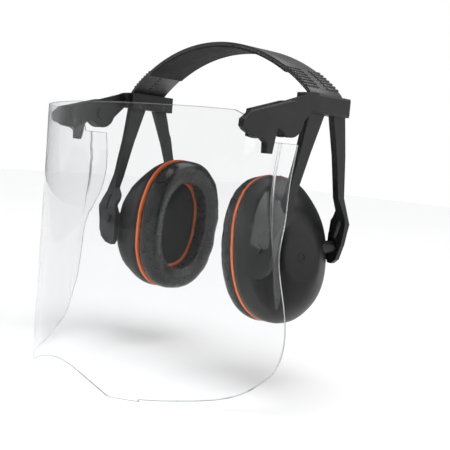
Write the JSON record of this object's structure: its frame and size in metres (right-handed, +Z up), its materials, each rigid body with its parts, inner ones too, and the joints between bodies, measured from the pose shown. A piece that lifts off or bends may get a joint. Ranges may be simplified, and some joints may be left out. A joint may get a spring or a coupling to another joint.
{
  "type": "ear defenders with visor",
  "caption": "Over-head ear defenders on a ratcheting spring headband, with two tilting ear cups and a clear face visor that flips up.",
  "frame": {"origin": "midway between the two ear cups, where the wearer's ear line crosses the middle plane", "axes": "+Z up towards the crown, -Y forward towards the visor, +X to the wearer's left"},
  "size_m": [0.2312, 0.1701, 0.2296],
  "materials": {
    "band_plastic": "satin moulded plastic",
    "frame_plastic": "fine-textured satin moulded plastic",
    "shell_plastic": "smooth semi-gloss moulded plastic",
    "seal_orange": "satin orange plastic",
    "cushion_vinyl": "glossy black vinyl skin over foam",
    "absorber_foam": "open-cell foam",
    "absorber_cloth": "thin black felt",
    "liner_foam": "soft matt liner",
    "visor_clear": "clear polished sheet",
    "screw_steel": "blackened steel",
    "spring_steel": "bright spring steel"
  },
  "bodies": {
    "frame": {"left_bracket": "frame_plastic", "left_bracket_screws": "screw_steel", "left_ratchet_spring": "spring_steel", "left_yoke": "frame_plastic", "left_cup_pins": "frame_plastic", "right_bracket": "frame_plastic", "right_bracket_screws": "screw_steel", "right_ratchet_spring": "spring_steel", "right_yoke": "frame_plastic", "right_cup_pins": "frame_plastic"},
    "headband": {"headband": "band_plastic", "headband_liner": "liner_foam"},
    "visor": {"visor": "visor_clear", "left_visor_clamp": "frame_plastic", "left_clamp_plate": "frame_plastic", "left_clamp_rivets": "screw_steel", "left_visor_pin": "frame_plastic", "right_visor_clamp": "frame_plastic", "right_clamp_plate": "frame_plastic", "right_clamp_rivets": "screw_steel", "right_visor_pin": "frame_plastic"},
    "left_cup": {"left_cup_shell": "shell_plastic", "left_seal_plate": "seal_orange", "left_ear_cushion": "cushion_vinyl", "left_foam_liner": "absorber_foam", "left_foam_scrim": "absorber_cloth", "left_cup_plug": "shell_plastic"},
    "right_cup": {"right_cup_shell": "shell_plastic", "right_seal_plate": "seal_orange", "right_ear_cushion": "cushion_vinyl", "right_foam_liner": "absorber_foam", "right_foam_scrim": "absorber_cloth", "right_cup_plug": "shell_plastic"}
  },
  "joints": [
    {"name": "visor_flip", "type": "hinge", "parent": "frame", "child": "visor", "pos_m": [0, -0.053, 0.0844], "axis": [-1, 0, 0], "range_deg": [0, 80]},
    {"name": "left_cup_tilt", "type": "hinge", "parent": "frame", "child": "left_cup", "pos_m": [0.0822, -0.0064, 0.0034], "axis": [0, 1, 0], "range_deg": [-6, 17]},
    {"name": "right_cup_tilt", "type": "hinge", "parent": "frame", "child": "right_cup", "pos_m": [-0.0822, -0.0064, 0.0034], "axis": [0, -1, 0], "range_deg": [-13, 10]},
    {"name": "height_adjust", "type": "slide", "parent": "frame", "child": "headband", "axis": [0, 0, 1], "range_m": [-0.007, 0], "deforming": ["headband"]}
  ]
}
